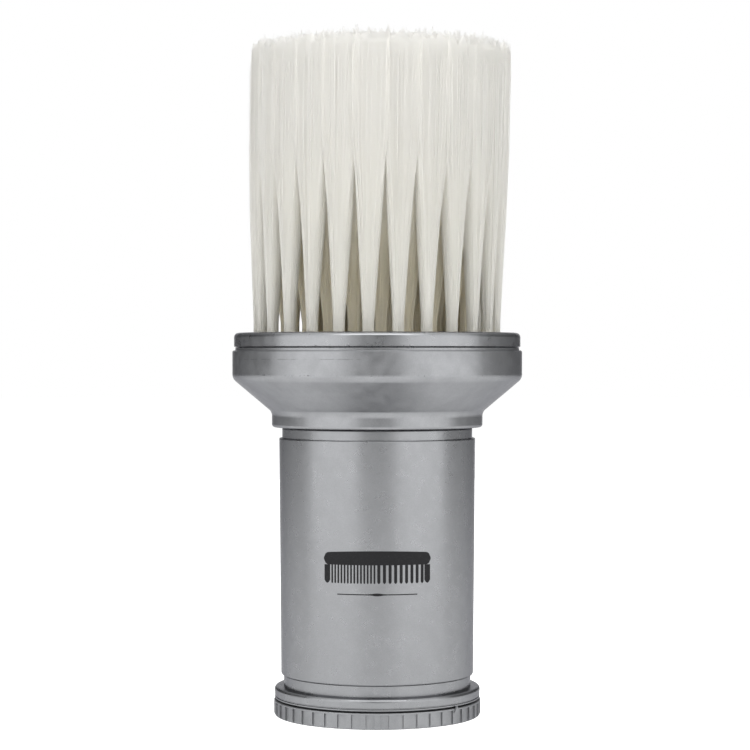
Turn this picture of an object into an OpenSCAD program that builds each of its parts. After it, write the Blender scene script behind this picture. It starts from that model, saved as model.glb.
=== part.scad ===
// Neck duster brush with a powder reservoir in the handle.
// Origin at the centre of the face it stands on, +Z up through the bristles.

/* [Handle] */
// Outer radius of the sleeve at its lower end
sleeve_bottom_r = 23.05; // [22.6:0.05:23.6]
// Outer radius of the sleeve at its upper end
sleeve_top_r = 23.5; // [22.9:0.05:23.9]
// Length of the sleeve
sleeve_h = 56.7; // [40:0.1:90]
// Wall of the powder container inside the sleeve
container_wall = 1.4; // [1.2:0.1:1.8]

/* [Base] */
// Height of the serrated cap
cap_h = 3.85; // [3.85:0.05:5]
// Radius over the ribs of the cap
cap_r = 24.75; // [24.7:0.05:25.5]
// Number of ribs around the cap
rib_count = 46; // [24:2:64]
// Pitch of the cap's screw thread
thread_pitch = 3.5; // [3.4:0.1:3.6]
// Direction of the pip on the cap's edge, from the front towards +X
pip_angle = 48; // [0:1:359]

/* [Head] */
// Outer radius of the head's collar
collar_r = 25.25; // [25:0.05:26]
// Outer radius of the head at its widest band
band_r = 34.7; // [34.6:0.05:35.5]
// Wall of the head shell
head_wall = 1.8; // [1.6:0.1:2]
// Angle the head turns through to open the shutter
twist_angle = 60; // [60:1:60]

/* [Bristles] */
// Height from the tuft plate's top face to the trimmed tips
trim_h = 69.4; // [40:0.1:90]
// Tufts in the outer, middle and inner rows
row_counts = [26, 22, 14];
// Radii of the outer, middle and inner rows
row_radii = [28.3, 22, 15.8];
// Direction of the first tuft in each row, from the front towards +X
row_phases = [-4.2, 2, 10];
// Radius of a tuft at its root
root_r = 1.5; // [1.2:0.05:1.5]

/* [Hidden] */
$fn = 128;

silver = "#a9acb1";
cream = "#dcd8cf";
ivory = "#d6d0c2";
black = "#2a2a2c";
steel = "#8c9096";
white = "#e9e9e6";

fit = 0.05;      // radial play of parts glued or snapped together
running = 0.1;   // play of parts that turn on each other

// Heights along the handle
cap_gap = 0.25;
flange_z = cap_h + cap_gap;
recess_z = flange_z + 3.1;
sleeve_z = recess_z + 2.5;
shoulder_z = sleeve_z + sleeve_h;
neck_z = shoulder_z + 2.35;
head_z = neck_z + running;

// Cap, gasket and thread
valley_r = cap_r - 0.35;
lip_h = 0.4;
foot_r = 21.5;
plug_r = 18.15;
plug_wall = 1.75;
plug_top_z = cap_h + 7.05;
cap_floor_z = 1.8;
gasket_in_r = 19.6;
gasket_out_r = 22.6;
gasket_seat_z = cap_h - 0.3;
ridge_h = 0.8;
ridge_crest_w = 1;
ridge_root_w = 1.9;
ridge_z = flange_z + 1.8;
thread_axial_play = 0.15;
groove_depth = 0.9;
thread_steps = 36;

// Collar and container
collar_bore_r = plug_r + 0.15;
flange_r = 24.65;
recess_r = 22.4;
spigot_h = 5;
container_r = 21.65;
container_in_r = container_r - container_wall;
sleeve_bore_r = container_r + fit;
shoulder_r = 22.8;
neck_r = 17.5;
neck_bore_r = 15;
neck_top_z = neck_z + 9.55;
gland_r = 16.5;
gland_z = neck_z + 2.05;
gland_h = 1.8;
ring_groove_z = neck_z + 5.65;
ring_groove_h = 1.2;
seat_r = 16.35;
seat_z = neck_top_z - 1.6;
key_w = 2;
key_r = 16.9;
stop_pin_r = 1;
stop_pin_at = 21;
stop_pin_angle = 90;

// Shutter discs: three windows each, one disc half a step ahead of the other
window_in_r = 3.4;
window_out_r = 13.6;
window_angle = 56;
window_step = 120;
rivet_r = 1.25;
rivet_head_r = 2.4;
rotor_r = 15;
rotor_z = neck_top_z + running;
disc_h = 1.6;
lug_w = 3;
lug_r = 16.2;

// Head
hub_in_r = neck_r + running;
hub_out_r = 19.4;
hub_top_z = ring_groove_z - running;
web_h = 2;
cone_slope = 6.6 / 7.8;
cone_angle = atan(cone_slope);
cone_z = head_z + 3.72;
band_z = cone_z + (band_r - collar_r) * cone_slope;
mouth_r = band_r - head_wall;
ledge_r = 31.4;
ledge_z = head_z + 15.55;
mouth_z = ledge_z + 3.5;
mouth_step_z = mouth_z - 0.6;
funnel_tube_r = 16.4;
funnel_bore_r = 15.2;
funnel_h = 1.8;
funnel_r = mouth_r - 0.1;
plate_z = ledge_z + funnel_h;
plate_h = 4.8;
plate_top_z = plate_z + plate_h;
plate_r = 31.85;
well_r = 12.4;
sifter_r = 13.55;
sifter_h = 1.2;
ring_gap = 0.35;
ring_r = 34.3;
mouth_lip_r = ring_r - 0.3;
ring_z = mouth_z + ring_gap;
ring_top_z = plate_top_z + 0.5;
lip_r = 30.9;
bead_z = plate_z + 0.7;
bead_h = 0.25;

// Tufts: straight in their hole, then spreading until neighbours meet, then straight again
hole_play = 0.05;
hole_depth = 4.2;
spread_h = 38;
spread_radii = [3.2, 3, 3.1];
anchor_size = [2.6, 0.45, 1.2];
hole_floor_z = plate_top_z - hole_depth;

// ---------- helpers ----------

function unit(v) = v / norm(v);

// The arc that rounds corner p between its neighbours a and b
function corner(p, a, b, r, steps) =
  let (
    u = unit([a.x - p.x, a.y - p.y]),
    v = unit([b.x - p.x, b.y - p.y]),
    half = acos(u * v) / 2,
    centre = [p.x, p.y] + unit(u + v) * r / sin(half),
    from = [p.x, p.y] + u * r / tan(half) - centre,
    to = [p.x, p.y] + v * r / tan(half) - centre,
    turn = 180 - 2 * half
  )
  [for (i = [0 : steps])
    centre + (sin(turn * (1 - i / steps)) * from + sin(turn * i / steps) * to) / sin(turn)];

// A closed outline of [r, z] points, or [r, z, radius] where the corner is rounded
function outline(points, steps = 6) = [
  for (i = [0 : len(points) - 1])
    let (
      n = len(points),
      p = points[i],
      rounded = len(p) > 2
    )
    each rounded
      ? corner(p, points[(i + n - 1) % n], points[(i + 1) % n], p[2], steps)
      : [p]
];

module turned(points) {
  rotate_extrude() polygon(outline(points));
}

module tube(r_out, r_in, z0, z1) {
  translate([0, 0, z0]) difference() {
    cylinder(r = r_out, h = z1 - z0);
    translate([0, 0, -1]) cylinder(r = r_in, h = z1 - z0 + 2);
  }
}

module disc(r, z0, z1) {
  translate([0, 0, z0]) cylinder(r = r, h = z1 - z0);
}

// Places children on a circle, angles from the front (-Y) towards +X
module at(angle, r) {
  rotate([0, 0, angle - 90]) translate([r, 0, 0]) children();
}

// A right-hand helical bar, its section given as [radius, height] points around its pitch line
module helix(section, z0, turns) {
  n = len(section);
  last = ceil(turns * thread_steps);
  points = [
    for (i = [0 : last])
      let (a = 360 * i / thread_steps, z = z0 + thread_pitch * i / thread_steps)
        for (p = section) [p.x * cos(a), p.x * sin(a), z + p.y]
  ];
  sides = [
    for (i = [0 : last - 1])
      for (j = [0 : n - 1])
        let (k = (j + 1) % n)
          each [
            [i * n + j, i * n + k, (i + 1) * n + k],
            [i * n + j, (i + 1) * n + k, (i + 1) * n + j]
          ]
  ];
  ends = [[for (j = [n - 1 : -1 : 0]) j], [for (j = [0 : n - 1]) last * n + j]];
  polyhedron(points = points, faces = concat(sides, ends));
}

// Section of the thread between two radii, widened by play on both flanks
function thread_half(r) =
  ridge_crest_w / 2 + (plug_r + ridge_h - r) / ridge_h * (ridge_root_w - ridge_crest_w) / 2;
function thread_section(r0, r1, play) = [
  [r0, -thread_half(r0) - play],
  [r1, -thread_half(r1) - play],
  [r1, thread_half(r1) + play],
  [r0, thread_half(r0) + play]
];

// Three windows of a shutter disc, the first one centred on the given direction
module windows(centre, z0, z1) {
  for (k = [0 : 2])
    rotate([0, 0, centre + k * window_step - window_angle / 2])
      translate([0, 0, z0])
        rotate_extrude(angle = window_angle)
          translate([window_in_r, 0]) square([window_out_r - window_in_r, z1 - z0]);
}

// ---------- handle ----------

module powder_container() {
  bottom_z = sleeve_z + fit;
  color(silver) difference() {
    turned([
      [container_in_r, bottom_z],
      [container_r, bottom_z],
      [container_r, shoulder_z],
      [shoulder_r, shoulder_z],
      [shoulder_r, neck_z, 0.3],
      [neck_r, neck_z],
      [neck_r, gland_z],
      [gland_r, gland_z],
      [gland_r, gland_z + gland_h],
      [neck_r, gland_z + gland_h],
      [neck_r, ring_groove_z],
      [gland_r, ring_groove_z],
      [gland_r, ring_groove_z + ring_groove_h],
      [neck_r, ring_groove_z + ring_groove_h],
      [neck_r, neck_top_z, 0.3],
      [seat_r, neck_top_z],
      [seat_r, seat_z],
      [neck_bore_r, seat_z],
      [neck_bore_r, shoulder_z + 0.6],
      [container_in_r, shoulder_z - 3.5]
    ]);
    for (side = [0, 180])
      rotate([0, 0, side])
        translate([0, -key_w / 2 - running, seat_z])
          cube([key_r + fit, key_w + 2 * running, disc_h + 1]);
  }
  color(silver) at(stop_pin_angle, stop_pin_at)
    translate([0, 0, neck_z - 0.5]) cylinder(r = stop_pin_r, h = 1.55, $fn = 48);
}

module handle_sleeve() {
  top_z = sleeve_z + sleeve_h;
  color(silver) turned([
    [sleeve_bore_r, sleeve_z],
    [sleeve_bottom_r, sleeve_z, 0.7],
    [sleeve_top_r, top_z, 0.3],
    [sleeve_bore_r, top_z]
  ]);
}

module base_collar() {
  flange_top_z = flange_z + 2.95;
  spigot_r = container_in_r - fit;
  start_turns = 1;
  color(silver) difference() {
    turned([
      [collar_bore_r, flange_z],
      [flange_r - 0.35, flange_z],
      [flange_r - 0.1, flange_z + 0.25],
      [flange_r - 0.1, flange_z + 0.5],
      [flange_r - 0.35, flange_z + 0.62],
      [flange_r - 0.35, flange_z + 0.74],
      [flange_r - 0.1, flange_z + 0.86],
      [flange_r, flange_top_z, 0.8],
      [recess_r, recess_z],
      [recess_r, sleeve_z],
      [spigot_r, sleeve_z],
      [spigot_r, sleeve_z + spigot_h, 0.4],
      [collar_bore_r, sleeve_z + spigot_h]
    ]);
    helix(thread_section(plug_r - 0.1, collar_bore_r + groove_depth, thread_axial_play),
      ridge_z - start_turns * thread_pitch, start_turns + 1.15);
  }
}

module neck_o_ring() {
  section_r = 0.53;
  centre_r = gland_r + section_r + 0.02;
  color(black) translate([0, 0, gland_z + gland_h / 2])
    rotate_extrude() translate([centre_r, 0]) circle(r = section_r, $fn = 32);
}

module neck_snap_ring() {
  gap_angle = 30;
  color(steel)
    rotate([0, 0, gap_angle / 2])
      rotate_extrude(angle = 360 - gap_angle)
        translate([gland_r + fit, ring_groove_z + fit])
          square([hub_out_r - 0.4 - gland_r - fit, ring_groove_h - 2 * fit]);
}

module valve_stator() {
  color(white) difference() {
    union() {
      disc(seat_r - fit, seat_z, neck_top_z);
      for (side = [0, 180])
        rotate([0, 0, side])
          translate([0, -key_w / 2, seat_z]) cube([key_r, key_w, disc_h]);
    }
    disc(rivet_r + fit, seat_z - 1, neck_top_z + 1);
    windows(30, seat_z - 1, neck_top_z + 1);
  }
}

module valve_pin() {
  head_h = 0.8;
  bottom_z = seat_z - fit;
  top_z = rotor_z + disc_h + fit;
  color(steel) turned([
    [0, bottom_z - head_h],
    [rivet_head_r, bottom_z - head_h, 0.3],
    [rivet_head_r, bottom_z],
    [rivet_r, bottom_z],
    [rivet_r, top_z],
    [rivet_head_r, top_z],
    [rivet_head_r, top_z + head_h, 0.3],
    [0, top_z + head_h]
  ]);
}

// ---------- head ----------

module head_shell() {
  // the inner cone runs parallel to the outer one, a wall's thickness inside it
  inner_cone_z = cone_z + head_wall * (1 / cos(cone_angle) - cone_slope);
  inner_collar_r = collar_r - head_wall;
  ledge_under_z = inner_cone_z + (ledge_r - inner_collar_r) * cone_slope;
  slot_half_w = stop_pin_r + 0.15;
  slot_end_angle = asin(slot_half_w / stop_pin_at);
  slot_depth = 1.3;
  color(silver) difference() {
    turned([
      [hub_in_r, head_z],
      [collar_r, head_z + 0.1, 0.7],
      [collar_r, cone_z, 2],
      [band_r, band_z, 2.2],
      [band_r, mouth_step_z - 0.3],
      [band_r - 0.3, mouth_step_z],
      [mouth_lip_r, mouth_step_z],
      [mouth_lip_r, mouth_z - 0.1],
      [mouth_lip_r - 0.1, mouth_z],
      [mouth_r, mouth_z],
      [mouth_r, bead_z + bead_h + 0.2],
      [mouth_r + bead_h + 0.05, bead_z],
      [mouth_r, bead_z - bead_h - 0.2],
      [mouth_r, ledge_z],
      [ledge_r, ledge_z],
      [ledge_r, ledge_under_z],
      [inner_collar_r, inner_cone_z],
      [inner_collar_r, head_z + web_h],
      [hub_out_r, head_z + web_h],
      [hub_out_r, hub_top_z],
      [hub_in_r, hub_top_z]
    ]);
    // blind arc slot for the stop pin
    rotate([0, 0, stop_pin_angle - 90 - twist_angle - slot_end_angle])
      translate([0, 0, head_z - 1])
        rotate_extrude(angle = twist_angle + 2 * slot_end_angle)
          translate([stop_pin_at - slot_half_w, 0]) square([2 * slot_half_w, slot_depth + 1]);
  }
}

module head_funnel() {
  tube_z = rotor_z + 0.2;
  color(white) difference() {
    turned([
      [funnel_bore_r, tube_z],
      [funnel_tube_r, tube_z],
      [funnel_tube_r, ledge_z],
      [funnel_r, ledge_z],
      [funnel_r, plate_z],
      [well_r, plate_z],
      [well_r, plate_z - 0.8],
      [funnel_bore_r, plate_z - 3.3]
    ]);
    for (side = [0, 180])
      rotate([0, 0, side])
        translate([0, -lug_w / 2 - running, tube_z - 1])
          cube([funnel_tube_r + 1, lug_w + 2 * running, disc_h + 1]);
  }
}

module valve_rotor() {
  color(white) difference() {
    union() {
      disc(rotor_r, rotor_z, rotor_z + disc_h);
      for (side = [0, 180])
        rotate([0, 0, side])
          translate([0, -lug_w / 2, rotor_z + 0.3]) cube([lug_r, lug_w, disc_h - 0.3]);
    }
    disc(rivet_r + fit, rotor_z - 1, rotor_z + disc_h + 1);
    windows(30 + twist_angle, rotor_z - 1, rotor_z + disc_h + 1);
  }
}

module sifter_disc() {
  hole_r = 0.8;
  rings = [[1, 0], [6, 4.6], [12, 9.2]];
  color(white) difference() {
    disc(sifter_r, plate_z, plate_z + sifter_h);
    for (ring = rings)
      for (i = [0 : ring[0] - 1])
        at(360 * i / ring[0], ring[1])
          translate([0, 0, plate_z - 1]) cylinder(r = hole_r, h = sifter_h + 2, $fn = 32);
  }
}

module tuft_plate() {
  color(ivory) difference() {
    turned([
      [sifter_r + fit, plate_z],
      [plate_r, plate_z],
      [plate_r, plate_top_z],
      [well_r, plate_top_z],
      [well_r, plate_z + sifter_h],
      [sifter_r + fit, plate_z + sifter_h]
    ]);
    for (row = [0 : 2])
      for (i = [0 : row_counts[row] - 1])
        at(row_phases[row] + 360 * i / row_counts[row], row_radii[row])
          translate([0, 0, hole_floor_z])
            cylinder(r = root_r + hole_play, h = hole_depth + 1, $fn = 32);
  }
}

module rim_ring() {
  skirt_in_r = plate_r + fit;
  skirt_out_r = mouth_r - fit;
  color(silver) turned([
    [skirt_in_r, plate_z],
    [skirt_out_r, plate_z],
    [skirt_out_r, bead_z - bead_h],
    [skirt_out_r + bead_h, bead_z],
    [skirt_out_r, bead_z + bead_h],
    [skirt_out_r, mouth_z + fit],
    [mouth_lip_r - 0.1, mouth_z + fit],
    [ring_r, ring_z],
    [ring_r, ring_top_z, 1.1],
    [lip_r, ring_top_z, 0.3],
    [lip_r, plate_top_z],
    [skirt_in_r, plate_top_z]
  ]);
}

// One tuft: the folded filaments straddle their anchor at the bottom of the hole
module tuft(spread_r) {
  spread_z = plate_top_z + spread_h;
  difference() {
    turned([
      [0, hole_floor_z],
      [root_r, hole_floor_z],
      [root_r, plate_top_z],
      [spread_r, spread_z],
      [spread_r, plate_top_z + trim_h],
      [0, plate_top_z + trim_h]
    ], $fn = 24);
    translate([0, 0, hole_floor_z + anchor_size.z / 2])
      cube([2 * root_r + 1, anchor_size.y + 2 * fit, anchor_size.z + 2 * fit], center = true);
  }
}

module tuft_row(row) {
  color(cream)
    for (i = [0 : row_counts[row] - 1])
      at(row_phases[row] + 360 * i / row_counts[row], row_radii[row])
        tuft(spread_radii[row]);
}

module anchor_row(row) {
  color(steel)
    for (i = [0 : row_counts[row] - 1])
      at(row_phases[row] + 360 * i / row_counts[row], row_radii[row])
        translate([0, 0, hole_floor_z + anchor_size.z / 2]) cube(anchor_size, center = true);
}

// ---------- base cap ----------

module cap_gasket() {
  color(black) tube(gasket_out_r, gasket_in_r, gasket_seat_z, flange_z);
}

module base_cap() {
  rib_share = 0.4;
  core_z = 2.2;
  pip_w = 1.8;
  pip_depth = 0.4;
  pip_rise = 0.6;
  color(silver) {
    difference() {
      turned([
        [0, 0.5],
        [plug_r + 0.45, 0.5],
        [plug_r + 0.45, core_z],
        [foot_r - 0.3, core_z],
        [foot_r, 0],
        [cap_r, 0, 0.8],
        [cap_r, cap_h, 0.15],
        [gasket_out_r + running, cap_h],
        [gasket_out_r + running, gasket_seat_z],
        [gasket_in_r - running, gasket_seat_z],
        [gasket_in_r - running, cap_h],
        [plug_r, cap_h],
        [plug_r, plug_top_z, 0.4],
        [plug_r - plug_wall, plug_top_z],
        [plug_r - plug_wall, cap_floor_z],
        [0, cap_floor_z]
      ]);
      // valleys between the ribs, below a plain lip; one rib faces the front
      for (i = [0 : rib_count - 1])
        rotate([0, 0, 360 * (i + rib_share / 2) / rib_count - 90])
          rotate_extrude(angle = 360 * (1 - rib_share) / rib_count)
            translate([valley_r, -1]) square([2, cap_h - lip_h + 1]);
    }
    helix(thread_section(plug_r - 0.3, plug_r + ridge_h, 0), ridge_z, 1);
    // index pip: a small wedge on the edge, standing up in front of the parting line
    at(pip_angle, flange_r + 0.02)
      rotate([90, 0, 90])
        linear_extrude(height = pip_depth)
          polygon([[-pip_w / 2, cap_h - 0.9], [pip_w / 2, cap_h - 0.9], [0, cap_h + pip_rise]]);
  }
}

powder_container();
handle_sleeve();
base_collar();
neck_o_ring();
neck_snap_ring();
valve_stator();
valve_pin();
head_shell();
head_funnel();
valve_rotor();
sifter_disc();
tuft_plate();
rim_ring();
tuft_row(0);  // tufts_outer_row
tuft_row(1);  // tufts_middle_row
tuft_row(2);  // tufts_inner_row
anchor_row(0);  // anchors_outer_row
anchor_row(1);  // anchors_middle_row
anchor_row(2);  // anchors_inner_row
cap_gasket();
base_cap();
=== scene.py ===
"""Looks for the neck duster brush.

Paint and plastics for the CAD pieces, tufts of single filaments, the printed mark, light and camera."""

import math

import bpy
import numpy as np
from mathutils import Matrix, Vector


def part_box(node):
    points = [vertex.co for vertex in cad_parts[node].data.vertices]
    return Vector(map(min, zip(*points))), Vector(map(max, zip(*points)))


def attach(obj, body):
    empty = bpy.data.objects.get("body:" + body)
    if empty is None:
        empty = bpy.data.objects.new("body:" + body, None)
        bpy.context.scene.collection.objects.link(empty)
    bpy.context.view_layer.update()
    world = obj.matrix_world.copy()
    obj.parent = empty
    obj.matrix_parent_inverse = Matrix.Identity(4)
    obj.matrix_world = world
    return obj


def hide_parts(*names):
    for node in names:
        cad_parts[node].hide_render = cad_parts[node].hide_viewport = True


MM = 0.001

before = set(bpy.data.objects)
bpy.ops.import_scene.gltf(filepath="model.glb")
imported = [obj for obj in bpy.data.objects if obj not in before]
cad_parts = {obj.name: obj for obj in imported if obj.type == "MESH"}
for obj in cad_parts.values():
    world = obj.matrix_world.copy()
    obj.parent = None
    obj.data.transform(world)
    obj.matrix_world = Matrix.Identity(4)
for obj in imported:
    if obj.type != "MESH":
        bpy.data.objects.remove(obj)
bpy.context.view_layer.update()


# ---------------------------------------------------------------- node helpers


class Shader:
    """A material with one Principled shader, and short calls to add and link nodes."""

    def __init__(self, name):
        self.material = bpy.data.materials.new(name)
        self.material.use_nodes = True
        self.tree = self.material.node_tree
        self.tree.nodes.clear()
        self.out = self.tree.nodes.new("ShaderNodeOutputMaterial")
        self.bsdf = self.add("ShaderNodeBsdfPrincipled")
        self.link(self.bsdf.outputs[0], self.out.inputs["Surface"])

    def add(self, kind, **settings):
        """A new node of this kind."""
        node = self.tree.nodes.new(kind)
        for key, value in settings.items():
            setattr(node, key, value)
        return node

    def link(self, source, target):
        self.tree.links.new(source, target)

    def feed(self, socket, value):
        """Gives a socket a number, a colour or another node's output."""
        if isinstance(value, bpy.types.NodeSocket):
            self.link(value, socket)
        elif isinstance(value, tuple) and len(value) == 3 and socket.type == "RGBA":
            socket.default_value = (*value, 1)
        else:
            socket.default_value = value

    def set(self, **values):
        """Feeds inputs of the Principled shader, with _ for the spaces in their names."""
        for key, value in values.items():
            self.feed(self.bsdf.inputs[key.replace("_", " ")], value)

    def place(self):
        """Coordinates on the object itself, in millimetres."""
        coords = self.add("ShaderNodeTexCoord").outputs["Object"]
        scale = self.add("ShaderNodeVectorMath", operation="SCALE")
        self.link(coords, scale.inputs[0])
        scale.inputs["Scale"].default_value = 1 / MM
        return scale.outputs[0]

    def noise(self, vector, size, detail=2.0, roughness=0.5, stretch=(1, 1, 1)):
        """Noise whose blobs are about size millimetres across, from 0 to 1."""
        mapping = self.add("ShaderNodeMapping")
        self.link(vector, mapping.inputs["Vector"])
        mapping.inputs["Scale"].default_value = [1 / (size * s) for s in stretch]
        node = self.add("ShaderNodeTexNoise")
        self.link(mapping.outputs[0], node.inputs["Vector"])
        node.inputs["Scale"].default_value = 1
        node.inputs["Detail"].default_value = detail
        node.inputs["Roughness"].default_value = roughness
        return node.outputs["Fac"]

    def maths(self, operation, a, b=0.0, clamp=False):
        node = self.add("ShaderNodeMath", operation=operation, use_clamp=clamp)
        self.feed(node.inputs[0], a)
        self.feed(node.inputs[1], b)
        return node.outputs[0]

    def spread(self, value, low, high, to_low=0.0, to_high=1.0):
        """Maps low..high to to_low..to_high, clamped and smooth."""
        node = self.add("ShaderNodeMapRange", interpolation_type="SMOOTHSTEP")
        for socket, given in zip(node.inputs, (value, low, high, to_low, to_high)):
            self.feed(socket, given)
        return node.outputs[0]

    def mix(self, share, a, b, blend="MIX"):
        """Colour a with this share of colour b."""
        node = self.add("ShaderNodeMix", data_type="RGBA", blend_type=blend)
        self.feed(node.inputs[0], share)
        self.feed(node.inputs[6], a)
        self.feed(node.inputs[7], b)
        return node.outputs[2]

    def bump(self, height, distance_mm, strength=1.0):
        """A fine relief on the Principled shader."""
        node = self.add("ShaderNodeBump")
        self.feed(node.inputs["Height"], height)
        node.inputs["Distance"].default_value = distance_mm * MM
        node.inputs["Strength"].default_value = strength
        self.link(node.outputs[0], self.bsdf.inputs["Normal"])

    def axis_of(self, vector, axis):
        """The X, Y or Z of a vector."""
        split = self.add("ShaderNodeSeparateXYZ")
        self.link(vector, split.inputs[0])
        return split.outputs[axis]

    def distance_to(self, vector, z):
        """How far a place is above or below height z."""
        return self.maths("ABSOLUTE", self.maths("SUBTRACT", self.axis_of(vector, "Z"), z))

    def grey(self, value):
        """A number as a grey colour."""
        node = self.add("ShaderNodeCombineColor")
        for socket in node.inputs[:3]:
            self.link(value, socket)
        return node.outputs[0]

    def red(self, colour):
        """The red channel of a colour."""
        node = self.add("ShaderNodeSeparateColor")
        self.link(colour, node.inputs[0])
        return node.outputs[0]


# ---------------------------------------------------------------- materials


PAINT = (0.255, 0.26, 0.268)
PAINT_PALE = (0.305, 0.31, 0.318)
PAINT_DEEP = (0.20, 0.203, 0.212)
PAINT_ASLANT = (0.45, 0.45, 0.47)  # flakes lie flat in the paint, so it darkens where it is seen aslant
DUST = (0.09, 0.085, 0.085)
BARE = (0.13, 0.13, 0.14)
RUBBED = (0.1, 0.1, 0.11)
FLAKE, GRAIN, PEEL, CLOUD = 0.16, 0.22, 0.9, 5.0  # sizes in the paint, in millimetres
SCUFF_Z = 85.2  # millimetres above the floor, on the head's straight band
DUST_APART = 4.5  # millimetres between the places where a speck of dust may be
DUST_SHARE = 0.14  # how many of those places hold one
DUST_R = (0.018, 0.032)  # a speck's full and outer radius, as shares of that distance


def with_dust(s, at, colour):
    """Dust caught under the paint: a few dots of a quarter of a millimetre."""
    cells = s.add("ShaderNodeTexVoronoi", feature="F1")
    s.link(at, cells.inputs["Vector"])
    cells.inputs["Scale"].default_value = 1 / DUST_APART
    cells.inputs["Randomness"].default_value = 1
    near = s.spread(cells.outputs["Distance"], *DUST_R, 1, 0)
    chosen = s.maths("GREATER_THAN", s.red(cells.outputs["Color"]), 1 - DUST_SHARE)
    speck = s.maths("MULTIPLY", near, chosen)
    return s.mix(s.maths("MULTIPLY", speck, 0.75), colour, DUST)


def with_chips(s, at, colour, bands):
    """Chips where the paint has worn through, in bands (height, half width) around the edges."""
    worn = None
    for z, half in bands:
        band = s.spread(s.distance_to(at, z), half * 0.4, half, 1, 0)
        crumbs = s.spread(s.noise(at, 0.55, detail=3, roughness=0.7), 0.56, 0.62)
        patch = s.spread(s.noise(at, 6.0, detail=1), 0.42, 0.6)
        chips = s.maths("MULTIPLY", s.maths("MULTIPLY", band, crumbs), patch)
        worn = chips if worn is None else s.maths("MAXIMUM", worn, chips)
    return s.mix(worn, colour, BARE)


def with_scuff(s, at, colour, z):
    """A fine broken line rubbed into the paint at height z, on the left of the front."""
    width = s.spread(s.distance_to(at, z), 0.06, 0.16, 1, 0)
    line = s.maths("MULTIPLY", width, s.spread(s.noise(at, 2.0, detail=2), 0.4, 0.55))
    front = s.spread(s.axis_of(at, "Y"), -14, -10, 1, 0)
    reach = s.maths("MULTIPLY", s.spread(s.axis_of(at, "X"), -5, -3, 1, 0), front)
    return s.mix(s.maths("MULTIPLY", s.maths("MULTIPLY", line, reach), 0.4), colour, RUBBED)


def silver_paint(name, tone=1.0, roughness=0.4, mottle=0.05, chip_bands=(), scuff=None):
    """Satin aluminium-coloured spray paint on plastic, with fine flake and soft mottle.

    chip_bands and scuff say where the paint is worn, as with_chips and with_scuff take them."""
    s = Shader(name)
    at = s.place()
    base, pale, deep = (tuple(c * tone for c in colour) for colour in (PAINT, PAINT_PALE, PAINT_DEEP))
    flake = s.noise(at, FLAKE, detail=1)
    cloud = s.noise(at, CLOUD, detail=3, roughness=0.6)
    colour = s.mix(s.spread(flake, 0.35, 0.65, 0.25, 0.75), deep, pale)
    colour = s.mix(0.55, colour, base)
    shade = s.spread(cloud, 0.3, 0.7, 1 - mottle, 1 + mottle)
    colour = s.mix(1.0, colour, s.grey(shade), "MULTIPLY")
    colour = with_dust(s, at, colour)
    if chip_bands:
        colour = with_chips(s, at, colour, chip_bands)
    if scuff is not None:
        colour = with_scuff(s, at, colour, scuff)
    rough = s.spread(s.noise(at, 2.2, detail=3), 0.25, 0.75, roughness - 0.04, roughness + 0.05)
    s.set(Base_Color=colour, Metallic=0.95, Roughness=rough, Specular_Tint=PAINT_ASLANT)
    peel = s.noise(at, PEEL, detail=2)
    grain = s.noise(at, GRAIN, detail=2)
    height = s.maths("ADD", s.maths("MULTIPLY", peel, 0.75), s.maths("MULTIPLY", grain, 0.25))
    s.bump(height, 0.02, 0.3)
    return s.material


def moulded_plastic(name, colour, roughness=0.45, grain_mm=0.35):
    """Injection-moulded plastic with a fine spark-eroded texture and faint flow clouds."""
    s = Shader(name)
    at = s.place()
    cloud = s.spread(s.noise(at, 7.0, detail=3), 0.3, 0.7, 0.93, 1.06)
    s.set(
        Base_Color=s.mix(1.0, colour, s.grey(cloud), "MULTIPLY"),
        Roughness=s.spread(s.noise(at, 1.5), 0.3, 0.7, roughness - 0.06, roughness + 0.06),
        IOR=1.49,
    )
    s.bump(s.noise(at, grain_mm, detail=2), 0.015, 0.6)
    return s.material


def seal_rubber(name):
    """Black rubber with a faint grey bloom."""
    s = Shader(name)
    at = s.place()
    bloom = s.spread(s.noise(at, 2.5, detail=3), 0.45, 0.75)
    s.set(
        Base_Color=s.mix(bloom, (0.018, 0.018, 0.019), (0.05, 0.05, 0.052)),
        Roughness=s.spread(bloom, 0, 1, 0.55, 0.75),
    )
    s.bump(s.noise(at, 0.12), 0.008, 0.6)
    return s.material


def spring_steel(name):
    """Drawn steel with fine lines along Z."""
    s = Shader(name)
    at = s.place()
    drawn = s.noise(at, 0.08, detail=2, stretch=(1, 1, 12))
    s.set(
        Base_Color=s.mix(drawn, (0.42, 0.43, 0.45), (0.62, 0.63, 0.65)),
        Metallic=1.0,
        Roughness=s.spread(drawn, 0.3, 0.7, 0.26, 0.42),
    )
    s.bump(drawn, 0.004, 0.5)
    return s.material


def printing_ink(name):
    """Black pad-print ink: nearly even, with pinholes and a slight sheen."""
    s = Shader(name)
    at = s.place()
    pinholes = s.spread(s.noise(at, 0.09, detail=2), 0.66, 0.72)
    s.set(
        Base_Color=s.mix(pinholes, (0.012, 0.012, 0.013), (0.06, 0.06, 0.065)),
        Roughness=s.spread(s.noise(at, 0.8), 0.3, 0.7, 0.5, 0.62),
        Specular_IOR_Level=0.12,
    )
    return s.material


STRAND_MAP = "OFBake"  # one narrow column per shade, so that every filament of a shade shares its texels
STRAND_SHADES = 48
STRAND_TONE = (0.98, 0.99)  # the darkest and the palest shade
PAINTED_SHADE_SPAN = (0.15, 0.75)  # heights, as shares of the map, between which the nylon's tint changes from its root tint, which is painted shade, to its tip tint
# tints near root and tip of each row; the inner rows' warmer, yellower root tint is painted shade, for the
# light that reaches them through the outer tufts
OUTER_TINT = ((0.998, 0.994, 0.975), (0.996, 0.992, 0.978))
SHADED_WITHIN_TINT = ((0.998, 0.972, 0.88), (0.998, 0.99, 0.965))


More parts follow.
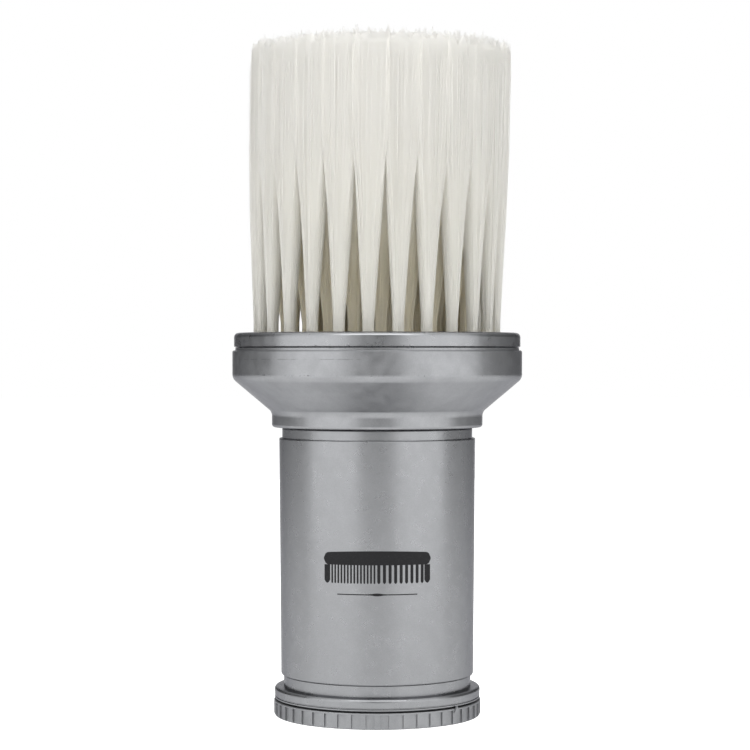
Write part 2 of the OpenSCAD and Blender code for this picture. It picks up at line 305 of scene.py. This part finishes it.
def bristle_nylon(name, clear, low, high):
    """Natural nylon filament, milky, with a slightly different shade for each filament.

    clear is the share of light that goes through, and low and high tint that light near root and tip. low also
    warms the base colour near the roots: painted shade, for the warm shade deep among the tufts."""
    s = Shader(name)
    coords = s.add("ShaderNodeUVMap", uv_map=STRAND_MAP).outputs[0]
    column = s.maths("FLOOR", s.maths("MULTIPLY", s.axis_of(coords, "X"), STRAND_SHADES))
    height = s.spread(s.axis_of(coords, "Y"), *PAINTED_SHADE_SPAN)
    tone = s.add("ShaderNodeTexWhiteNoise", noise_dimensions="1D")
    s.link(column, tone.inputs["W"])
    shade = s.grey(s.spread(tone.outputs["Value"], 0.0, 1.0, *STRAND_TONE))
    # painted shade: the base colour grows warmer towards the roots, by the low tint
    tint = s.mix(height, tuple((1 + c) / 2 for c in low), (1.0, 0.998, 0.99))
    s.set(Base_Color=s.mix(1.0, shade, tint, "MULTIPLY"), Roughness=0.55, IOR=1.4)
    through = s.add("ShaderNodeBsdfTranslucent")
    s.link(s.mix(height, low, high), through.inputs["Color"])
    both = s.add("ShaderNodeMixShader")
    both.inputs[0].default_value = clear
    s.link(s.bsdf.outputs[0], both.inputs[1])
    s.link(through.outputs[0], both.inputs[2])
    s.link(both.outputs[0], s.out.inputs["Surface"])
    return s.material


# ---------------------------------------------------------------- tufts


def concentric(a, b):
    """Maps points of the square -1..1 evenly onto the unit disc."""
    r = np.where(np.abs(a) > np.abs(b), a, b)
    safe_a = np.where(a == 0, 1, a)
    safe_b = np.where(b == 0, 1, b)
    eighth = math.pi / 4
    angle = np.where(np.abs(a) > np.abs(b), eighth * b / safe_a, math.pi / 2 - eighth * a / safe_b)
    return r * np.cos(angle), r * np.sin(angle)


class Row:
    """One ring of tufts, from lengths in millimetres and a phase in degrees.

    tip_in and tip_out bound the share of the brush's face that its tips fill, meet is the height above the
    plate at which its tufts meet, and sectors is how many pieces it is made as."""

    def __init__(self, node, count, radius, phase, tip_in, tip_out, meet, sectors):
        self.node = node
        self.count = count
        self.radius = radius * MM
        self.phase = math.radians(phase)
        self.tip_in = tip_in * MM
        self.tip_out = tip_out * MM
        self.meet = meet * MM
        self.sectors = sectors


PLATE_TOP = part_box("tuft_plate")[1].z
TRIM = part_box("tufts_outer_row")[1].z
ANCHOR_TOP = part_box("anchors_outer_row")[1].z
FULL = TRIM - PLATE_TOP
MAP_FULL = FULL * 1.05  # the height above the plate where the map ends
TUCK = ANCHOR_TOP + 0.05 * MM - PLATE_TOP  # where a filament starts, just above its tuft's anchor

# heights above the plate, in millimetres, where a filament and the packed core are bent
STRAND_RINGS = (0.0, 3.0, 9.0, 17.0, 28.0, 44.0, 62.0)
CORE_RINGS = (0.0, 3.0, 8.0, 14.0, 21.0, 30.0, 42.0, 55.0)

# a tuft's shape
ROOT_R = 1.25 * MM
STRAIGHT = 3 * MM  # a tuft is still straight this far above the plate
MEET_EASE = 8  # how sharply its spread stops where it meets its neighbours
CORNER_EASE = 4  # it is still round there, and fills its corners higher up
MERGE = 0.14  # how far neighbouring tufts run into each other near their tips
MERGE_FROM, MERGE_OVER = 30, 20  # millimetres above the plate
LEAN, LEAN_EASE = 0.95 * MM, 1.3  # how far the tips lean towards +X

# its filaments
FILAMENT_R = 0.06 * MM
TIP_TAPER = 0.3
SHELL_COUNT, INNER_COUNT = 180, 130
INNER_REACH = 0.9  # how far out in the tuft the inner filaments stand
EVEN_STEPS = (0.7548776662, 0.5698402910)  # powers of the plastic number, whose multiples spread evenly
WISPS = 6  # wisps across a tuft at its tips
WISP_PULL = 0.85
STRAY_EASE = 1.6
STRAY_NEAR, STRAY_FAR = 0.1, 0.6  # millimetres at the tips
STRAY_SHARE = 0.012  # how many filaments stray far

# its packed core
CORE_CELLS = 10  # cells along each side of the square
CORE_ROOT = 0.88  # its width at the root, as a share of the tuft's
CORE_WALL, CORE_TOP = 3.6 * MM, 1.8 * MM  # how far below the trim its walls and its top end
CORE_POINTS = (0.75, 1.5)  # typical and greatest height of the points on its top, in millimetres

ROWS = (
    Row("tufts_outer_row", 26, 28.3, -4.2, 25.0, 31.05, 38, 4),
    Row("tufts_middle_row", 22, 22.0, 2.0, 18.8, 28.5, 34, 3),
    Row("tufts_inner_row", 14, 15.8, 10.0, 11.6, 20.5, 34, 2),
)


def in_tuft(row, index, a, b, up):
    """Points of one tuft, up above the plate: a runs across the row and b along it, from -1 to 1."""
    root_a, root_b = concentric(a, b)
    rise = np.clip(up - STRAIGHT, 0, None) / (row.meet - STRAIGHT)
    share = rise / (1 + rise**MEET_EASE) ** (1 / MEET_EASE)
    square = share**CORNER_EASE
    wide_a, wide_b = root_a + (a - root_a) * square, root_b + (b - root_b) * square
    mid, half_depth = (row.tip_in + row.tip_out) / 2, (row.tip_out - row.tip_in) / 2
    radius = (row.radius + root_a * ROOT_R) * (1 - share) + (mid + wide_a * half_depth) * share
    swing = root_b * ROOT_R / row.radius * (1 - share) + wide_b * math.pi / row.count * share
    angle = row.phase + 2 * math.pi * index / row.count + swing
    x = radius * np.sin(angle) + LEAN * (np.clip(up, 0, None) / FULL) ** LEAN_EASE
    return np.stack([x, -radius * np.cos(angle), PLATE_TOP + up], axis=-1)


def merged(up):
    """How much wider than its own place a tuft is at each height, where it runs into its neighbours."""
    return 1 + MERGE * np.clip((up / MM - MERGE_FROM) / MERGE_OVER, 0, 1)


def shell_places(rng, count):
    """Places in a tuft's square for filaments round its outside."""
    way = (np.arange(count) + rng.random(count)) / count * 8
    side = (way // 2).astype(int)
    run = np.mod(way, 2) - 1
    edge = np.ones(count)
    a = np.choose(side, [run, edge, -run, -edge])
    b = np.choose(side, [-edge, run, edge, -run])
    depth = rng.uniform(0.9, 1.04, count)
    return a * depth, b * depth


def inner_places(rng, count):
    """Places in a tuft's square for filaments inside it, spread evenly."""
    steps = np.arange(count)
    return [(2 * np.mod(steps * step + rng.random(), 1) - 1) * INNER_REACH for step in EVEN_STEPS]


def in_wisps(row, index, a, b, rng):
    """Draws neighbours together at their tips: the middle and the extra length of each filament's wisp."""
    half = WISPS / 2
    cell_a = np.clip(np.floor(a * half + rng.normal(0, 0.12, len(a))), -half, half - 1)
    cell_b = np.clip(np.floor(b * half + rng.normal(0, 0.12, len(b))), -half, half - 1)
    cell = ((cell_a + half) * WISPS + cell_b + half).astype(int)
    wisp_rng = np.random.default_rng(7919 * index + row.count)
    rise = np.clip(wisp_rng.normal(0, 0.55, WISPS * WISPS), -1.2, 1.4)[cell] * MM
    middle_a = ((cell_a + 0.5) + wisp_rng.uniform(-0.3, 0.3, WISPS * WISPS)[cell]) / half
    middle_b = ((cell_b + 0.5) + wisp_rng.uniform(-0.3, 0.3, WISPS * WISPS)[cell]) / half
    return middle_a, middle_b, rise


def filament_lines(row, index, rng, count, shell):
    """Filaments of one tuft as points (filament, ring, xyz).

    They run round its outside from root to tip, or inside it near the tips only."""
    if shell:
        a, b = shell_places(rng, count)
        levels = [TUCK] + [h * MM for h in STRAND_RINGS]
    else:
        a, b = inner_places(rng, count)
        levels = [FULL - 6.0 * MM, FULL - 3.0 * MM]
    middle_a, middle_b, rise = in_wisps(row, index, a, b, rng)
    tip = FULL - 0.3 * MM + rise + rng.normal(0, 0.12 * MM, count) - rng.exponential(0.3 * MM, count)

    up = np.stack([np.full(count, z) for z in levels] + [tip], axis=1)
    pull = np.zeros_like(up)
    pull[:, -1] = WISP_PULL
    pa = a[:, None] + (middle_a - a)[:, None] * pull
    pb = b[:, None] + (middle_b - b)[:, None] * pull
    points = in_tuft(row, index, pa, pb * merged(up), up)
    # each filament strays a little, and a few stray further
    away = np.where(rng.random(count) < STRAY_SHARE, STRAY_FAR, STRAY_NEAR) * MM
    stray = rng.normal(0, 1, (count, 1, 2)) * away[:, None, None]
    points[:, :, :2] += stray * (np.clip(up, 0, None) / FULL)[:, :, None] ** STRAY_EASE
    return points


class Build:
    """Gathers the vertices, faces and shade map of one mesh."""

    def __init__(self):
        self.points, self.faces, self.maps = [], [], []
        self.start = self.size = 0

    def add(self, points, faces, uvs):
        """points (n, 3), faces (m, corners) among them and uvs (m, corners, 2)."""
        self.points.append(points.reshape(-1, 3))
        self.start = self.size
        self.size += len(self.points[-1])
        self.more(faces, uvs)

    def more(self, faces, uvs):
        """More faces among the points that were added last."""
        self.faces.append(faces + self.start)
        self.maps.append(uvs.reshape(-1, 2))

    def piece(self, name):
        mesh = bpy.data.meshes.new(name)
        mesh.vertices.add(self.size)
        mesh.vertices.foreach_set("co", np.concatenate(self.points).astype(np.float32).ravel())
        corners = np.concatenate([f.ravel() for f in self.faces])
        lengths = np.concatenate([np.full(len(f), f.shape[1]) for f in self.faces])
        mesh.loops.add(len(corners))
        mesh.loops.foreach_set("vertex_index", corners.astype(np.int32))
        mesh.polygons.add(len(lengths))
        mesh.polygons.foreach_set("loop_start", (np.cumsum(lengths) - lengths).astype(np.int32))
        mesh.polygons.foreach_set("use_smooth", np.ones(len(lengths), bool))
        layer = mesh.uv_layers.new(name=STRAND_MAP)
        layer.data.foreach_set("uv", np.concatenate(self.maps).astype(np.float32).ravel())
        mesh.update(calc_edges=True)
        mesh.validate()
        piece = bpy.data.objects.new(name, mesh)
        bpy.context.scene.collection.objects.link(piece)
        return piece


def quad_map(u0, u1, v0, v1):
    """Map corners (..., 4, 2) of quads that reach from u0 to u1 and from v0 to v1."""
    corners = ((u0, v0), (u1, v0), (u1, v1), (u0, v1))
    return np.stack([np.stack(corner, axis=-1) for corner in corners], axis=-2)


def add_filaments(build, lines, rng):
    """Three-sided filaments along lines (filament, ring, xyz), closed at both ends, with a fine tip."""
    n, rings = lines.shape[:2]
    turn = rng.random(n) * 2 * math.pi
    corners = turn[:, None] + np.arange(3) * 2 * math.pi / 3
    around = np.stack([np.cos(corners), np.sin(corners), np.zeros_like(corners)], axis=2)
    radii = FILAMENT_R * (0.9 + 0.2 * rng.random(n))
    taper = np.ones(rings)
    taper[-1] = TIP_TAPER
    points = lines[:, :, None, :] + (radii[:, None] * taper)[:, :, None, None] * around[:, None]
    side = np.arange(3)[None, None, :]
    after = (side + 1) % 3
    first = np.arange(n) * rings * 3
    base = first[:, None, None] + (np.arange(rings - 1) * 3)[None, :, None]
    quads = np.stack([base + side, base + after, base + after + 3, base + side + 3], axis=3)
    roots = first[:, None] + np.array([2, 1, 0])
    tips = first[:, None] + (rings - 1) * 3 + np.array([0, 1, 2])

    # the map: u picks the filament's shade, v is its height above the plate
    column = rng.integers(0, STRAND_SHADES, n)
    height = np.clip((lines[:, :, 2] - PLATE_TOP) / MAP_FULL, 0.005, 0.99)
    u0 = (column[:, None, None] + 0.1 + 0.25 * side) / STRAND_SHADES * np.ones((1, rings - 1, 1))
    u1 = u0 + 0.25 / STRAND_SHADES
    v0 = height[:, :-1, None] * np.ones((1, 1, 3))
    v1 = height[:, 1:, None] * np.ones((1, 1, 3))
    build.add(points, quads.reshape(-1, 4), quad_map(u0, u1, v0, v1))
    cap_u = (column[:, None] + np.array([0.3, 0.5, 0.7])) / STRAND_SHADES
    for faces, level in ((roots, height[:, :1]), (tips, height[:, -1:])):
        build.more(faces, np.stack([cap_u, level + np.array([-0.004, 0.004, -0.004])], axis=2))


def add_core(build, row, index, rng):
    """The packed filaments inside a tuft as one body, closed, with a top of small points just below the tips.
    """
    cells = CORE_CELLS
    run = np.arange(cells) / cells * 2 - 1
    ones = np.ones(cells)
    a = np.concatenate([run, ones, -run, -ones])
    b = np.concatenate([-ones, run, ones, -run])
    levels = np.array([TUCK] + [h * MM for h in CORE_RINGS] + [FULL - CORE_WALL])
    around, rings = 4 * cells, len(levels)
    swell = CORE_ROOT + (1 - CORE_ROOT) * np.clip(levels / (40 * MM), 0, 1)[:, None]
    depth = swell * rng.uniform(0.97, 1.02)
    level_grid = levels[:, None] * np.ones((1, around))
    walls = in_tuft(row, index, a * depth, b * swell * merged(levels)[:, None], level_grid)
    bottom = in_tuft(row, index, np.zeros(1), np.zeros(1), levels[:1])
    grid = np.arange(cells + 1) / cells * 2 - 1
    grid_a, grid_b = np.meshgrid(grid, grid, indexing="ij")
    typical, most = CORE_POINTS
    top_up = FULL - CORE_TOP + np.clip(rng.normal(0, typical, grid_a.shape), -most, most) * MM
    top = in_tuft(row, index, grid_a * depth[-1], grid_b * (1 + MERGE), top_up)

    k = np.arange(around)
    after = (k + 1) % around
    ring = (np.arange(rings - 1) * around)[:, None]
    quads = np.stack([ring + k, ring + after, ring + after + around, ring + k + around], axis=2)
    height = np.clip(levels / MAP_FULL, 0.005, 0.94)
    u0 = np.broadcast_to(k / around, (rings - 1, around))
    v0 = np.broadcast_to(height[:-1, None], (rings - 1, around))
    v1 = np.broadcast_to(height[1:, None], (rings - 1, around))

    last, side = rings * around, cells + 1
    first_top = last + 1
    step = np.arange(cells)
    rim = [step * side, cells * side + step, (cells - step) * side + cells, cells - step]
    rim = first_top + np.concatenate(rim)
    hem = np.stack([k + last - around, after + last - around, np.roll(rim, -1), rim], axis=1)
    i, j = np.meshgrid(step, step, indexing="ij")
    corner = (first_top + i * side + j).ravel()
    lid = np.stack([corner, corner + side, corner + side + 1, corner + 1], axis=1)
    lid_u = (i.ravel() / cells)[:, None] + np.array([0, 1, 1, 0]) / cells
    lid_v = 0.955 + 0.04 * ((j.ravel() / cells)[:, None] + np.array([0, 0, 1, 1]) / cells)
    hem_u = (k / around)[:, None] + np.array([0, 1, 1, 0]) / around
    hem_v = np.tile([0.945, 0.945, 0.95, 0.95], (around, 1))
    fan = np.stack([after, k, np.full(around, last)], axis=1)
    fan_u = (k / around)[:, None] + np.array([1, 0, 0.5]) / around
    points = np.concatenate([walls.reshape(-1, 3), bottom, top.reshape(-1, 3)])
    build.add(points, quads.reshape(-1, 4), quad_map(u0, u0 + 1 / around, v0, v1))
    build.more(hem, np.stack([hem_u, hem_v], 2))
    build.more(lid, np.stack([lid_u, lid_v], 2))
    build.more(fan, np.stack([fan_u, np.full_like(fan_u, 0.002)], 2))


def make_tufts(materials):
    """Makes each row as a few pieces of neighbouring tufts."""
    for number, (row, material) in enumerate(zip(ROWS, materials)):
        label = row.node.replace("tufts_", "").replace("_row", "")
        for sector in range(row.sectors):
            rng = np.random.default_rng(1000 * number + sector)
            build = Build()
            for i in range(row.count):
                if i * row.sectors // row.count == sector:
                    add_core(build, row, i, rng)
                    add_filaments(build, filament_lines(row, i, rng, SHELL_COUNT, True), rng)
                    add_filaments(build, filament_lines(row, i, rng, INNER_COUNT, False), rng)
            piece = build.piece(f"{label}_tufts_{sector + 1}")
            piece.data.materials.append(material)
            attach(piece, "head")
            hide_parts(row.node)


# ---------------------------------------------------------------- printed mark


SLEEVE_LOW, SLEEVE_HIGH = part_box("handle_sleeve")
SLEEVE_R = (23.05 * MM, 23.5 * MM)  # at the sleeve's two ends
INK_BASE, INK_TOP = 0.004 * MM, 0.02 * MM  # how far above the sleeve the ink begins and ends

# the comb, in millimetres: x from the sleeve's front and z from the floor
COMB_HALF = 13.0
SPINE_LOW, SPINE_HIGH = 37.8, 40.6
SPINE_CROWN = 0.45  # how much higher the spine is in its middle
SPINE_END_R = 1.2
TOOTH_LENGTH = 4.3
GUARD_AT, GUARD_WIDTH = COMB_HALF - 0.9, 1.5
FINE_TEETH = np.arange(-COMB_HALF + 2.2, -0.3, 0.78)
COARSE_TEETH = np.arange(0.35, COMB_HALF - 1.9, 1.3)
FINE_WIDTH, COARSE_WIDTH = 0.42, 0.72
RULE_Z, RULE_HALF = 31.0, 9.5
RULE_THIN, RULE_BEAD = 0.12, 0.22  # half its height at the ends, and what its middle adds


def on_sleeve(x, z, lift):
    """The point of the sleeve's front that lies x along its round, at height z, lift above it."""
    t = (z - SLEEVE_LOW.z) / (SLEEVE_HIGH.z - SLEEVE_LOW.z)
    r = SLEEVE_R[0] + (SLEEVE_R[1] - SLEEVE_R[0]) * t
    return ((r + lift) * math.sin(x / r), -(r + lift) * math.cos(x / r), z)


def ink_strip(verts, faces, xs, low, high):
    """A thin closed layer of ink between two heights, given at each x, all in millimetres."""
    start = len(verts)
    for x, lo, hi in zip(xs * MM, low * MM, high * MM):
        verts += [on_sleeve(x, z, lift) for lift in (INK_BASE, INK_TOP) for z in (lo, hi)]
    for i in range(len(xs) - 1):
        a, b = start + 4 * i, start + 4 * (i + 1)
        faces += [(a + 2, b + 2, b + 3, a + 3), (a, a + 1, b + 1, b)]
        faces += [(a, b, b + 2, a + 2), (a + 1, a + 3, b + 3, b + 1)]
    last = start + 4 * (len(xs) - 1)
    faces += [(start, start + 2, start + 3, start + 1), (last, last + 1, last + 3, last + 2)]


def ink_spine(verts, faces):
    """The comb's back, rounded at both ends and crowned along its top."""
    xs = np.linspace(-COMB_HALF, COMB_HALF, 61)
    into_end = ((np.abs(xs) - COMB_HALF + SPINE_END_R) / SPINE_END_R).clip(0)
    edge = np.sqrt(np.clip(1 - into_end**2, 0, 1))
    mid = (SPINE_LOW + SPINE_HIGH) / 2
    crown = SPINE_CROWN * (1 - (xs / COMB_HALF) ** 2)
    blunt = np.maximum(edge, 0.15)
    low = np.where(edge < 1, mid - (mid - SPINE_LOW) * blunt, SPINE_LOW)
    ink_strip(verts, faces, xs, low, mid + (SPINE_HIGH - mid) * blunt + crown)


def ink_tooth(verts, faces, x, width):
    """One tooth with a rounded tip."""
    across = np.linspace(-width / 2, width / 2, 5)
    tip = SPINE_LOW - TOOTH_LENGTH + 0.5 * width * (np.abs(across) * 2 / width) ** 2
    ink_strip(verts, faces, x + across, tip, np.full(5, SPINE_LOW))


def comb_mark(material):
    """A plain comb with fine teeth on one half and coarse teeth on the other, over a thin rule."""
    verts, faces = [], []
    ink_spine(verts, faces)
    teeth = [(-GUARD_AT, GUARD_WIDTH), (GUARD_AT, GUARD_WIDTH)]
    teeth += [(x, FINE_WIDTH) for x in FINE_TEETH] + [(x, COARSE_WIDTH) for x in COARSE_TEETH]
    for x, width in teeth:
        ink_tooth(verts, faces, x, width)
    rule = np.linspace(-RULE_HALF, RULE_HALF, 41)
    bulge = RULE_THIN + RULE_BEAD * np.exp(-((rule / 1.2) ** 2))
    ink_strip(verts, faces, rule, RULE_Z - bulge, RULE_Z + bulge)
    mesh = bpy.data.meshes.new("printed_comb")
    mesh.from_pydata(verts, [], faces)
    mesh.validate()
    piece = bpy.data.objects.new("printed_comb", mesh)
    bpy.context.scene.collection.objects.link(piece)
    mesh.materials.append(material)
    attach(piece, "handle")


# ---------------------------------------------------------------- stage


LENS = 109.8
CAMERA_AT = (-0.53, -549, 86.2)  # millimetres
CAMERA_AIM = (-0.53, 0, 81.4)

# the studio light, in metres and watts
LIT_PLACE = (0, 0, 0.08)
SIDE_BOX_ANGLE = math.radians(52)  # from the camera's side of the brush
SIDE_BOX_AWAY, SIDE_BOX_Z = 0.75, 0.2
SIDE_BOX = (0.95, 0.9, 4.4)  # width, height and power
OTHER_BOXES = (
    ("front_top_box", (0, -0.58, 0.8), 1.0, 0.6, 6.2),
    ("top_box", (0, 0.0, 0.9), 2.0, 0.8, 6.0),
    ("back_top_box", (0, 0.62, 0.66), 1.6, 0.5, 1.0),
    ("backdrop", (0, 1.0, 0.22), 0.7, 0.5, 1.1),
)

GLOW_LAMPS, GLOW_POWER = 12, 0.002  # the power of all together
GLOW_R, GLOW_RISE = 9.5 * MM, 36 * MM  # off the axis, and above the plate

FLOOR_HALF, FLOOR_Z = 4.0, -0.02 * MM
FLOOR_SEEN, FLOOR_LIT = 0.95, 0.47  # how strongly it shines to the camera and on the brush
WORLD_SEEN, WORLD_LIT = 1.0, 0.1
WHITE = (1, 1, 1, 1)


def make_camera():
    data = bpy.data.cameras.new("camera")
    data.sensor_width = 36
    data.lens = LENS
    data.clip_start = 0.01
    camera = bpy.data.objects.new("camera", data)
    bpy.context.scene.collection.objects.link(camera)
    camera.location = [c * MM for c in CAMERA_AT]
    aim = Vector([c * MM for c in CAMERA_AIM])
    camera.rotation_euler = (aim - camera.location).to_track_quat("-Z", "Y").to_euler()
    bpy.context.scene.camera = camera


def soft_box(name, place, width, height, power):
    """A rectangular light at place that faces the brush."""
    data = bpy.data.lights.new(name, "AREA")
    data.shape = "RECTANGLE"
    data.size = width
    data.size_y = height
    data.energy = power
    lamp = bpy.data.objects.new(name, data)
    lamp.visible_camera = False
    bpy.context.scene.collection.objects.link(lamp)
    lamp.location = place
    lamp.rotation_euler = (Vector(LIT_PLACE) - Vector(place)).to_track_quat("-Z", "Y").to_euler()


def make_light():
    for side in (-1, 1):
        x = side * SIDE_BOX_AWAY * math.sin(SIDE_BOX_ANGLE)
        y = -SIDE_BOX_AWAY * math.cos(SIDE_BOX_ANGLE)
        soft_box(f"soft_box_{side + 2}", (x, y, SIDE_BOX_Z), *SIDE_BOX)
    for box in OTHER_BOXES:
        soft_box(*box)


def make_glow():
    """Faint lamps in the well between the tufts. From the front they change nothing to be seen, and from above
    they brighten the well. They are here for the model's exporter: it takes translucent nylon with a lamp in
    it as lit from behind, and so keeps its pale colour."""
    for i in range(GLOW_LAMPS):
        data = bpy.data.lights.new(f"glow_{i + 1}", "POINT")
        data.energy = GLOW_POWER / GLOW_LAMPS
        data.shadow_soft_size = 3 * MM
        lamp = bpy.data.objects.new(data.name, data)
        lamp.visible_camera = False
        bpy.context.scene.collection.objects.link(lamp)
        angle = 2 * math.pi * i / GLOW_LAMPS
        lamp.location = (GLOW_R * math.sin(angle), -GLOW_R * math.cos(angle), PLATE_TOP + GLOW_RISE)


def camera_sees(tree, seen, lit):
    """Mixes two shaders: the first is what the camera sees, the second is what lights the object."""
    path = tree.nodes.new("ShaderNodeLightPath")
    mix = tree.nodes.new("ShaderNodeMixShader")
    tree.links.new(path.outputs["Is Camera Ray"], mix.inputs[0])
    tree.links.new(lit, mix.inputs[1])
    tree.links.new(seen, mix.inputs[2])
    return mix.outputs[0]


def make_world():
    """Even white, of which little falls on the brush."""
    world = bpy.data.worlds.new("studio")
    bpy.context.scene.world = world
    world.use_nodes = True
    tree = world.node_tree
    tree.nodes.clear()

    def white(strength):
        node = tree.nodes.new("ShaderNodeBackground")
        node.inputs["Color"].default_value = WHITE
        node.inputs["Strength"].default_value = strength
        return node.outputs[0]

    out = tree.nodes.new("ShaderNodeOutputWorld")
    tree.links.new(camera_sees(tree, white(WORLD_SEEN), white(WORLD_LIT)), out.inputs["Surface"])


def make_floor():
    """A matt white floor, lit from below as a light table is."""
    mesh = bpy.data.meshes.new("floor")
    corners = [(x * FLOOR_HALF, y * FLOOR_HALF, 0) for x, y in ((-1, -1), (1, -1), (1, 1), (-1, 1))]
    mesh.from_pydata(corners, [], [(0, 1, 2, 3)])
    floor = bpy.data.objects.new("floor", mesh)
    bpy.context.scene.collection.objects.link(floor)
    floor.location.z = FLOOR_Z
    material = bpy.data.materials.new("pale_floor")
    material.use_nodes = True
    tree = material.node_tree
    tree.nodes.clear()
    out = tree.nodes.new("ShaderNodeOutputMaterial")
    matt = tree.nodes.new("ShaderNodeBsdfDiffuse")
    matt.inputs["Color"].default_value = (0.85, 0.85, 0.85, 1)

    def lit_floor(strength):
        glow = tree.nodes.new("ShaderNodeEmission")
        glow.inputs["Strength"].default_value = strength
        both = tree.nodes.new("ShaderNodeAddShader")
        tree.links.new(glow.outputs[0], both.inputs[0])
        tree.links.new(matt.outputs[0], both.inputs[1])
        return both.outputs[0]

    tree.links.new(camera_sees(tree, lit_floor(FLOOR_SEEN), lit_floor(FLOOR_LIT)), out.inputs["Surface"])
    mesh.materials.append(material)


# ---------------------------------------------------------------- assembly


def dress(material, *nodes):
    """Gives CAD pieces this material."""
    for node in nodes:
        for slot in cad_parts[node].material_slots:
            slot.link = "DATA"
            slot.material = material


def dress_cad():
    """Materials for the CAD pieces: name, tone, roughness and mottle for each painted one."""
    dress(silver_paint("silver_paint_sleeve", 0.965, 0.3, 0.02), "handle_sleeve", "powder_container")
    dress(silver_paint("silver_paint_collar", 0.98, 0.3, 0.03), "base_collar")
    dress(silver_paint("silver_paint_cap", 1.05, 0.5, 0.03), "base_cap")
    shell_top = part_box("head_shell")[1].z / MM
    band_edge = shell_top - 6.4  # where the head's straight band meets its cone
    chips = ((shell_top, 0.35), (shell_top + 0.45, 0.3), (band_edge, 0.3))
    dress(silver_paint("silver_paint_head", 1.01, 0.33, 0.06, chips, SCUFF_Z), "head_shell")
    dress(silver_paint("silver_paint_rim", 1.05, 0.3, 0.03, chips), "rim_ring")
    dress(moulded_plastic("plate_plastic", (0.80, 0.77, 0.69)), "tuft_plate")
    inner = moulded_plastic("inner_plastic", (0.78, 0.78, 0.76), 0.4)
    dress(inner, "valve_stator", "valve_rotor", "sifter_disc", "head_funnel")
    dress(seal_rubber("seal_rubber"), "neck_o_ring", "cap_gasket")
    anchors = ("anchors_outer_row", "anchors_middle_row", "anchors_inner_row")
    dress(spring_steel("spring_steel"), "neck_snap_ring", "valve_pin", *anchors)


make_camera()
make_light()
make_glow()
make_world()
make_floor()
dress_cad()
outer = bristle_nylon("bristle_nylon_outer", 0.85, *OUTER_TINT)
# the middle and inner rows get a warmer copy of the nylon near their roots: painted shade, for light that
# reaches them through the outer row
shaded_within = bristle_nylon("bristle_nylon_within_painted_shade", 0.7, *SHADED_WITHIN_TINT)
make_tufts((outer, shaded_within, shaded_within))
comb_mark(printing_ink("printing_ink"))

bpy.context.scene.view_settings.view_transform = "Standard"
# light passes many times between white filaments before it leaves them
cycles = bpy.context.scene.cycles
cycles.max_bounces = cycles.diffuse_bounces = cycles.transmission_bounces = 24
